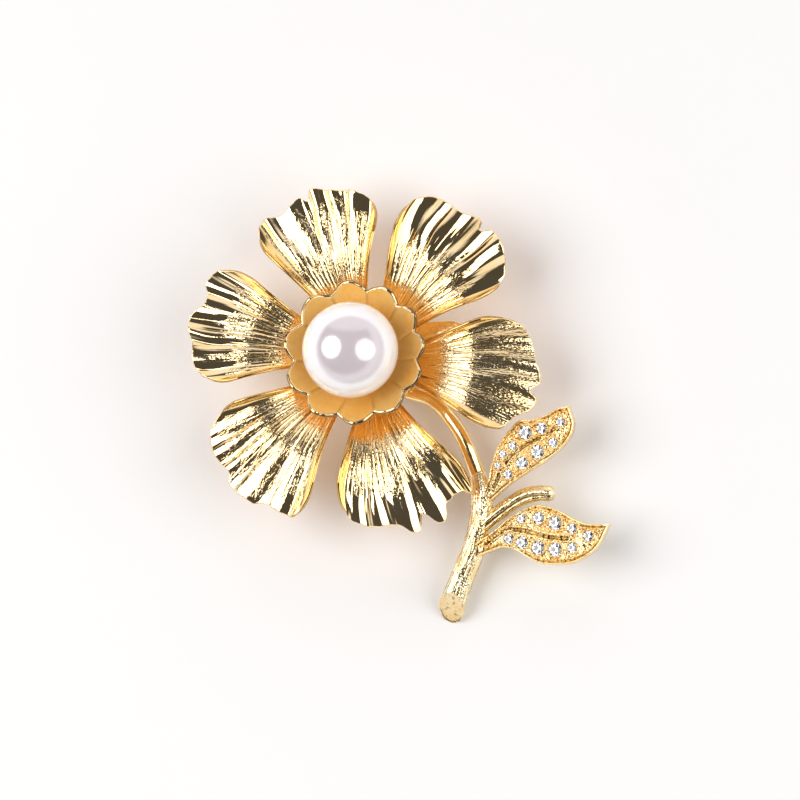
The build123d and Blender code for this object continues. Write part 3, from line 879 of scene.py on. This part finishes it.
def barkShape(angle, share):
    # lengthwise ridges that wander and knobs on the side where the leaves start
    c, s = math.cos(angle), math.sin(angle)
    coarse = jitter(c * 2.3, s * 2.3, share * 3.0)
    fine = jitter(c * 7.0, s * 7.0, share * 5.0 + 9.0)
    hair = jitter(c * 15.0, s * 15.0, share * 16.0 + 4.0)
    grain = jitter(c * 9.0, s * 9.0, share * 60.0)
    knob = math.exp(-(((share - 0.27) / 0.16) ** 2)) * ease(-0.2, 0.9, -c)
    return 1 + 0.07 * coarse + 0.075 * fine + 0.06 * hair + knob * (0.12 + 0.16 * grain)


def makeStem():
    spec = stemSet
    loops = ringsAlong(spec["path"], spec["steps"], spec["sides"], barkShape)
    line = catmull(spec["path"], spec["steps"])
    run = (Vector(line[-1][:3]) - Vector(line[-4][:3])).normalized()
    lean = math.radians(spec["slant"])
    normal = (run * math.cos(lean) + Vector((0, 0, 1)) * math.sin(lean)).normalized()
    cut = Vector(spec["cut"])
    kept = []
    for loop in loops:
        pulled = []
        past = 0
        for p in loop:
            over = (p - cut).dot(normal)
            if over > 0:
                past += 1
                p = p - run * over / run.dot(normal)
            pulled.append(p)
        kept.append(pulled)
        if past == len(loop):
            break
    ring = kept[-1]
    centre = sum(ring, Vector()) / len(ring)
    side = normal.cross(run).normalized()
    upper = side.cross(normal)
    firstRing = len(kept)

    def onFace(p, scale):
        return (p - centre).dot(side) * scale, (p - centre).dot(upper) * scale

    for scale, sink in spec["face"]:
        loop = []
        for p in ring:
            q = centre + (p - centre) * scale
            pits = jitter(*onFace(q, 3.2), 5.0)
            loop.append(q + normal * (sink + 0.04 * pits * (scale < 0.9)))
        kept.append(loop)
    vertices, faces = skin(kept, capStart=True, capEnd=True)
    piece = newPiece("barkStem", vertices, faces, goldFinishes["bark"])
    # painted shade: dark in the bark's fine grooves, over patches that spread towards the cut end, in the
    # pits of the cut face and just inside its upper rim
    sunk = []
    for i in range(len(kept)):
        share = i / spec["steps"]
        for k in range(spec["sides"]):
            angle = 2 * math.pi * k / spec["sides"]
            groove = jitter(math.cos(angle) * 15.0, math.sin(angle) * 15.0, share * 16.0 + 4.0)
            patch = jitter(math.cos(angle) * 1.5, math.sin(angle) * 1.5, share * 6.0 + 2.0)
            low = 0.8 * ease(0.15, 0.6, -groove) * ease(0.0, 0.5, patch + 0.8 * ease(0.6, 0.85, share))
            if i >= firstRing:
                low = 0.85 * ease(0.15, 0.6, jitter(*onFace(kept[i][k], 2.6), 7.0))
                rise = onFace(kept[i][k], 1.0)[1] / (kept[firstRing][k] - centre).length
                low = max(low, (i == firstRing + 1) * ease(0.3, 0.7, rise))
            sunk.append(min(low, 1.0))
    markPaintedShade(piece, sunk)
    piece.data.materials.append(goldFinishes["cut"])
    firstCut = (firstRing + 1) * spec["sides"]
    for face in piece.data.polygons:
        if min(face.vertices) >= firstCut:
            face.material_index = 1
    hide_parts("stem")
    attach(piece, "brooch")


def wireShape(angle, share):
    flat = 1 + 0.05 * math.cos(2 * angle)
    return flat + 0.05 * jitter(math.cos(angle) * 3.0, math.sin(angle) * 3.0, share * 6.0)


def makeWire():
    loops = ringsAlong(wireSet["path"], wireSet["steps"], wireSet["sides"], wireShape)
    vertices, faces = skin(loops, capStart=True, capEnd=True)
    piece = newPiece("stemWire", vertices, faces, goldFinishes["wire"])
    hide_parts("stem_wire")
    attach(piece, "brooch")


def twigShape(angle, share):
    c, s = math.cos(angle), math.sin(angle)
    crease = -0.20 * math.exp(-(((angle - math.pi / 2 + 0.45) / 0.20) ** 2))
    crease += 0.10 * math.exp(-(((angle - math.pi / 2 - 0.10) / 0.30) ** 2))
    blunt = math.sqrt(max(0.0, 1 - (max(share - 0.905, 0) / 0.0955) ** 2))
    return (1 + 0.06 * jitter(c * 5.0, s * 5.0, share * 4.0) + crease * (1 - share**6)) * blunt


def makeTwig():
    spec = twigSet
    loops = ringsAlong(spec["path"], spec["steps"], spec["sides"], twigShape)
    vertices, faces = skin(loops, capStart=True, capEnd=True)
    piece = newPiece("sideTwig", vertices, faces, goldFinishes["bark"])
    # painted shade in the twig's crease and its fine grooves
    sunk = []
    for i in range(len(loops)):
        share = i / spec["steps"]
        for k in range(spec["sides"]):
            angle = 2 * math.pi * k / spec["sides"]
            hair = jitter(math.cos(angle) * 14.0, math.sin(angle) * 14.0, share * 9.0)
            groove = math.exp(-(((angle - math.pi / 2 + 0.45) / 0.24) ** 2))
            sunk.append(min(1.0, groove * (1 - share**6) + 0.6 * ease(0.1, 0.5, -hair)))
    markPaintedShade(piece, sunk)
    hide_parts("side_twig")
    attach(piece, "brooch")


makeStem()
makeWire()
makeTwig()
print("stem, wire and twig made")


# ---- leaves with their stones

leafSheet = 1.3
leaves = {
    "upper": {
        "root": (16.68, -16.70, 0.2), "tip": (27.04, -7.04, 2.4),
        "left": [(-1.2, 0.7), (0.4, 1.35), (1.5, 2.1), (4.3, 3.4), (7.3, 3.8), (8.4, 3.6),
                 (9.4, 2.7), (11.0, 1.8), (12.9, 1.2), (14.1, 0.4)],
        "right": [(-1.2, -0.9), (1.8, -1.15), (4.9, -1.8), (7.6, -2.45), (10.6, -2.6),
                  (12.9, -1.7), (14.1, 0.4)],
        "vein": [(0.2, 0.1), (1.25, 0.5), (2.37, 1.0), (4.48, 1.3), (6.49, 0.95), (8.5, 0.36),
                 (10.58, -0.2), (12.2, -0.3)],
    },
    "lower": {
        "root": (15.46, -24.10, -0.6), "tip": (31.35, -21.95, 1.9),
        "left": [(-0.9, 0.8), (1.3, 1.75), (3.9, 3.2), (7.0, 4.1), (8.8, 3.7), (10.4, 2.8),
                 (11.8, 1.7), (13.4, 0.75), (16.4, 0.1)],
        "right": [(-0.9, -0.9), (0.7, -0.62), (2.2, -0.4), (3.8, -0.95), (5.4, -2.25), (7.0, -3.25),
                  (9.0, -3.7), (11.1, -3.8), (13.4, -3.1), (14.8, -2.1), (16.4, 0.1)],
        "vein": [(0.2, 0.5), (2.4, 1.55), (4.16, 1.55), (5.83, 1.0), (7.45, 0.25), (9.33, -0.4),
                 (10.82, -0.7)],
    },
}
leafSet = {
    "along": 260, "across": 104, "under": 20, "rim": 0.20, "rimRise": 0.08, "groove": 0.34,
    "grooveDepth": 0.20, "grain": 0.11, "grainPitch": 0.40, "collar": 0.13, "veinHalf": 0.20,
    "veinDepth": 0.34, "veinRise": 0.12, "beadRadius": 0.17, "beadPitch": 0.44, "beadInset": 0.60,
    "prong": 0.19, "grainBeads": 150,
}
stoneCut = {"table": 0.55, "crown": 0.30, "pavilion": 0.86, "girdle": 0.06}


def leafAxes(leaf):
    root, tip = Vector(leaf["root"]), Vector(leaf["tip"])
    ex = (tip - root).normalized()
    normal = ex.cross(Vector((0, 0, 1)).cross(ex)).normalized()
    return root, ex, normal.cross(ex), normal


def stonesOf(name, leaf):
    # each stone's centre on the leaf and its radius, read from the frame
    root, ex, ey, normal = leafAxes(leaf)
    stones = []
    for node in sorted(n for n in frame["nodes"] if n.startswith(f"stone_{name}_")):
        low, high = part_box(node)
        radius = (high.y - low.y) / 2 / mm
        centre = (low + high) / 2 / mm - root
        stones.append((centre.dot(ex), centre.dot(ey), radius))
    return stones


def nearest(line, x, y):
    best = 99.0
    for (x0, y0), (x1, y1) in zip(line, line[1:]):
        dx, dy = x1 - x0, y1 - y0
        t = min(max(((x - x0) * dx + (y - y0) * dy) / (dx * dx + dy * dy), 0.0), 1.0)
        best = min(best, math.hypot(x - x0 - dx * t, y - y0 - dy * t))
    return best


def leafTop(leaf, stones, vein, x, y, edge):
    # the leaf's face: a smooth rim, a groove, a grained field, a split vein, a collar round each
    # stone. Gives the height and how much shade is painted there, from how deep in a recess it lies.
    spec = leafSet
    inside = ease(spec["rim"], spec["groove"] + 0.1, edge)
    rim = 1 - ease(spec["rim"] * 0.6, spec["rim"] * 1.4, edge)
    groove = math.exp(-(((edge - spec["groove"]) / 0.065) ** 2))
    pitch = spec["grainPitch"]
    grain = jitter(x / pitch, y / pitch, 3.0) + 0.5 * jitter(x * 2.1 / pitch, y * 2.1 / pitch, 7.0)
    z = leafSheet - 0.06 + spec["rimRise"] * rim - spec["grooveDepth"] * groove
    z += spec["grain"] * grain * inside
    sunk = max(groove * 0.7, inside * ease(0.25, 0.6, -grain))
    off = nearest(vein, x, y)
    ridge = math.exp(-(((off - 0.40) / 0.12) ** 2))
    inVein = math.exp(-((off / spec["veinHalf"]) ** 4))
    z += spec["veinRise"] * ridge * inside - spec["veinDepth"] * inVein
    sunk = max(sunk * (1 - ridge), inVein * (0.75 + 0.25 * jitter(x * 1.5, y * 9.0, 2.0)))
    for sx, sy, radius in stones:
        d = math.hypot(x - sx, y - sy)
        if d < radius + 0.5:
            ring = math.exp(-(((d - radius - 0.08) / 0.09) ** 2))
            z = max(z, leafSheet - 0.12 + (0.12 + spec["collar"]) * ring)
            sunk *= 1 - ring
            if d < radius + 0.03:
                z = leafSheet - 0.02 - (radius + 0.03 - d) * 0.9
                sunk = 0.6
    return z, min(max(sunk, 0.0), 1.0)


def leafLoops(leaf, stones):
    spec = leafSet
    root, ex, ey, normal = leafAxes(leaf)
    vein = [tuple(p) for p in catmull(leaf["vein"], 40)]
    x0, x1 = leaf["left"][0][0], leaf["left"][-1][0]
    loops, plateShade = [], []
    for i in range(spec["along"] + 1):
        share = i / spec["along"]
        x = x0 + (x1 - x0) * share
        right, left = readAt(leaf["right"], x), readAt(leaf["left"], x)
        width = max(left - right, 0.02)
        slopes = []
        for side in ("right", "left"):
            rise = (readAt(leaf[side], x + 0.05) - readAt(leaf[side], x - 0.05)) / 0.1
            slopes.append(1 / math.hypot(1, rise))
        loop = []
        bevel = min(0.10, width * 0.2)
        for j in range(spec["across"] + 1):  # the columns crowd towards both edges
            v = 0.5 - 0.5 * math.cos(math.pi * (0.15 + 0.7 * j / spec["across"]))
            v = (v - 0.0545) / 0.891
            y = right + bevel + (width - 2 * bevel) * min(max(v, 0), 1)
            edge = min((y - right) * slopes[0], (left - y) * slopes[1], (x1 - x) * 0.9 + 0.05)
            z, sunk = leafTop(leaf, stones, vein, x, y, max(edge, 0.0))
            loop.append((y, z))
            plateShade.append(sunk)
        brink = leafSheet - 0.02
        walls = [(left - bevel * 0.3, brink - 0.06), (left, brink - 0.18), (left, 0.25), (left - bevel, 0.06)]
        for j in range(1, spec["under"]):
            v = 1 - j / spec["under"]
            y = right + bevel + (width - 2 * bevel) * v
            hollow = 0.22 * math.sin(math.pi * v) * min(1.0, width / 3)
            walls.append((y, 0.04 + hollow + 0.02 * jitter(x * 2.0, y * 2.0, 8.0)))
        walls += [(right + bevel, 0.06), (right, 0.25), (right, brink - 0.18)]
        walls.append((right + bevel * 0.3, brink - 0.06))
        plateShade += [0.0] * len(walls)
        loops.append([root + ex * x + ey * y + normal * z for y, z in loop + walls])
    return loops, plateShade


def buildBeadTree():
    inputs = {"Radius": ("NodeSocketFloat", 1.0), "Faces": ("NodeSocketInt", 2)}
    tree, given, taken = geometryTree("beadRow", inputs)
    ball = addNode(tree, "GeometryNodeMeshIcoSphere",
                   {"Radius": given["Radius"], "Subdivisions": given["Faces"]})
    spread = addNode(tree, "GeometryNodeInstanceOnPoints")
    plug(tree, spread.inputs["Points"], given["Geometry"])
    tree.links.new(ball.outputs["Mesh"], spread.inputs["Instance"])
    plug(tree, spread.inputs["Scale"], readField(tree, "size", "FLOAT"))
    real = addNode(tree, "GeometryNodeRealizeInstances", {0: Field(tree, spread.outputs[0])})
    smooth = addNode(tree, "GeometryNodeSetShadeSmooth")
    tree.links.new(real.outputs[0], smooth.inputs[0])
    finishTree(tree, given, taken, Field(tree, smooth.outputs[0]))
    return tree


def cutStone():
    # a round brilliant of radius 1: table, stars, kites, halves, girdle and pavilion
    cut = stoneCut

    def ring(count, radius, z, shift=0.0):
        turns = [2 * math.pi * (k + shift) / count for k in range(count)]
        return [(radius * math.cos(a), radius * math.sin(a), z) for a in turns]

    top = cut["girdle"] + cut["crown"]
    points = ring(8, cut["table"], top) + ring(8, 0.79, cut["girdle"] + 0.155, 0.5)
    points += ring(16, 1.0, cut["girdle"]) + ring(16, 1.0, 0.0)
    points += ring(8, 0.42, -cut["pavilion"] * 0.60, 0.5) + [(0, 0, -cut["pavilion"])]
    table, star, upper, lower, low, culet = 0, 8, 16, 32, 48, 56
    faces = [tuple(range(8))]
    for k in range(8):
        n, b = (k + 1) % 8, (k - 1) % 8
        g0, g1, g2 = 2 * k, 2 * k + 1, (2 * k + 2) % 16
        faces += [(table + k, star + k, table + n)]
        faces += [(table + k, star + b, upper + g0, star + k)]
        faces += [(star + k, upper + g0, upper + g1), (star + k, upper + g1, upper + g2)]
        faces += [(upper + g0, lower + g0, lower + g1, upper + g1)]
        faces += [(upper + g1, lower + g1, lower + g2, upper + g2)]
        faces += [(lower + g0, low + k, lower + g1), (lower + g1, low + k, lower + g2)]
        faces += [(lower + g0, low + b, culet, low + k)]
    return points, faces


def buildStoneTree(template):
    tree, given, taken = geometryTree("stoneRow", {"Scale": ("NodeSocketFloat", 1.0)})
    gem = addNode(tree, "GeometryNodeObjectInfo")
    gem.inputs["Object"].default_value = template
    spread = addNode(tree, "GeometryNodeInstanceOnPoints")
    plug(tree, spread.inputs["Points"], given["Geometry"])
    tree.links.new(gem.outputs["Geometry"], spread.inputs["Instance"])
    plug(tree, spread.inputs["Rotation"], readField(tree, "turn", "FLOAT_VECTOR"))
    plug(tree, spread.inputs["Scale"], readField(tree, "size", "FLOAT") * given["Scale"])
    finishTree(tree, given, taken, Field(tree, spread.outputs[0]))
    return tree


def clearStone():
    material, tree, shader = newMaterial("clearStone", Roughness=0.01, IOR=2.1, Transmission_Weight=1.0)
    place = objectPlace(tree)
    tint = mixColour(tree, noiseField(tree, place, 900.0, 1.0), (0.80, 0.83, 0.88, 1), (0.93, 0.94, 0.97, 1))
    plug(tree, shader.inputs["Base Color"], tint)
    return material


def scatterPoints(name, spots, turns=None):
    # a cloud of points that carries each one's size and turn for a tree to read
    piece = newPiece(name, [spot for spot, size in spots], [], smooth=False)
    sizes = piece.data.attributes.new("size", "FLOAT", "POINT")
    sizes.data.foreach_set("value", [size * mm for spot, size in spots])
    if turns:
        held = piece.data.attributes.new("turn", "FLOAT_VECTOR", "POINT")
        held.data.foreach_set("vector", [value for turn in turns for value in turn])
    return piece


def beadSpots(leaf, stones):
    spec = leafSet
    root, ex, ey, normal = leafAxes(leaf)
    spots = []

    def put(x, y, z, size):
        spots.append((root + ex * x + ey * y + normal * z, size))

    def free(x, y, room, margin):
        low, high = readAt(leaf["right"], x) + margin, readAt(leaf["left"], x) - margin
        return low < y < high and all(math.hypot(x - a, y - b) > c + room for a, b, c in stones)

    x0, x1 = leaf["left"][0][0] + 1.2, leaf["left"][-1][0] - 0.6
    for side, inward in (("left", -1), ("right", 1)):
        x = x0
        while x < x1:
            rise = (readAt(leaf[side], x + 0.05) - readAt(leaf[side], x - 0.05)) / 0.1
            stretch = math.hypot(1, rise)
            y = readAt(leaf[side], x) + inward * spec["beadInset"] * stretch
            if free(x, y, 0.12, 0.4):
                put(x, y, leafSheet + 0.02, spec["beadRadius"] * (1 + 0.15 * jitter(x * 3.0, inward * 2.0)))
            x += spec["beadPitch"] / stretch
    for k, (sx, sy, radius) in enumerate(stones):
        for m in range(6):
            angle = 2 * math.pi * (m + 0.35 * k) / 6
            x, y = sx + (radius + 0.10) * math.cos(angle), sy + (radius + 0.10) * math.sin(angle)
            clash = any(math.hypot(x - a, y - b) < c + 0.03 for a, b, c in stones if (a, b) != (sx, sy))
            if not clash and readAt(leaf["right"], x) + 0.3 < y < readAt(leaf["left"], x) - 0.3:
                put(x, y, leafSheet + 0.08, spec["prong"])
    vein = [tuple(p) for p in catmull(leaf["vein"], 40)]
    for k in range(spec["grainBeads"] * 4):  # loose grains over the field between
        x = x0 + (x1 - x0) * (0.5 + 0.55 * jitter(k * 7.3, 1.0, 4.0))
        y = 4.5 * jitter(k * 5.9, 8.0, 2.0)
        if free(x, y, 0.25, 0.75) and nearest(vein, x, y) > 0.45:
            put(x, y, leafSheet - 0.02, 0.13 + 0.05 * jitter(k * 3.1, 2.0, 9.0))
    return spots


def makeLeaves():
    beadTree = buildBeadTree()
    points, faces = cutStone()
    template = newPiece("stoneTemplate", [Vector(p) / mm for p in points], faces, smooth=False)
    stoneTree = buildStoneTree(template)
    gemFinish = clearStone()
    for name, leaf in leaves.items():
        root, ex, ey, normal = leafAxes(leaf)
        stones = stonesOf(name, leaf)
        loops, plateShade = leafLoops(leaf, stones)
        vertices, quads = skin(loops, capStart=True, capEnd=True)
        plate = newPiece(f"leafPlate-{name}", vertices, quads, goldFinishes["leaf"])
        markPaintedShade(plate, plateShade)
        beads = scatterPoints(f"leafBeads-{name}", beadSpots(leaf, stones))
        growMesh(beads, beadTree, {"Radius": 1.0, "Faces": 2, "Finish": goldFinishes["bead"]})
        basis = Matrix((ex, ey, normal)).transposed()
        spots, turns = [], []
        for k, (x, y, radius) in enumerate(stones):
            spots.append((root + ex * x + ey * y + normal * leafSheet, radius))
            turns.append(tuple((basis @ Matrix.Rotation(0.7 * k, 3, "Z")).to_euler()))
        gems = scatterPoints(f"leafStones-{name}", spots, turns)
        growMesh(gems, stoneTree, {"Scale": 1.0, "Finish": gemFinish})
        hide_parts(f"leaf_{name}")
        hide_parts(*sorted(n for n in frame["nodes"] if n.startswith(f"stone_{name}_")))
        for piece in (plate, beads, gems):
            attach(piece, "brooch")
    bpy.data.objects.remove(template)


makeLeaves()
print("leaves and stones made")


# ---- pin finding, disc and peg: the frame's own shapes, with broken edges

findingSet = {
    "back_bar": 0.16, "base_disc": 0.22, "hinge_bracket": 0.10, "hinge_rivet": 0.0, "catch_body": 0.10,
    "catch_roller": 0.06, "pin_stem": 0.0, "pearl_peg": 0.0,
}  # how far each one's edges are broken, in millimetres
findingEdge = {"weld": 0.002, "flatAngle": 0.6, "edgeAngle": 35.0, "steps": 3}


def finishFindings():
    bodies = {node: body for body, nodes in frame["record"]["behaviour"]["bodies"].items() for node in nodes}
    for node, edge in findingSet.items():
        finish = goldFinishes["wire" if node == "pin_stem" else "finding"]
        shape = bpy.data.objects[node].data.copy()
        piece = bpy.data.objects.new(node.replace("_", "-"), shape)
        scene.collection.objects.link(piece)
        shape.materials.clear()
        shape.materials.append(finish)
        weld = piece.modifiers.new("weld", "WELD")
        weld.merge_threshold = findingEdge["weld"] * mm
        if edge:
            flats = piece.modifiers.new("flats", "DECIMATE")
            flats.decimate_type = "DISSOLVE"
            flats.angle_limit = math.radians(findingEdge["flatAngle"])
            soften = piece.modifiers.new("edges", "BEVEL")
            soften.width = edge * mm
            soften.segments = findingEdge["steps"]
            soften.limit_method = "ANGLE"
            soften.angle_limit = math.radians(findingEdge["edgeAngle"])
        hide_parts(node)
        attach(piece, bodies[node])


finishFindings()
print("finding finished")
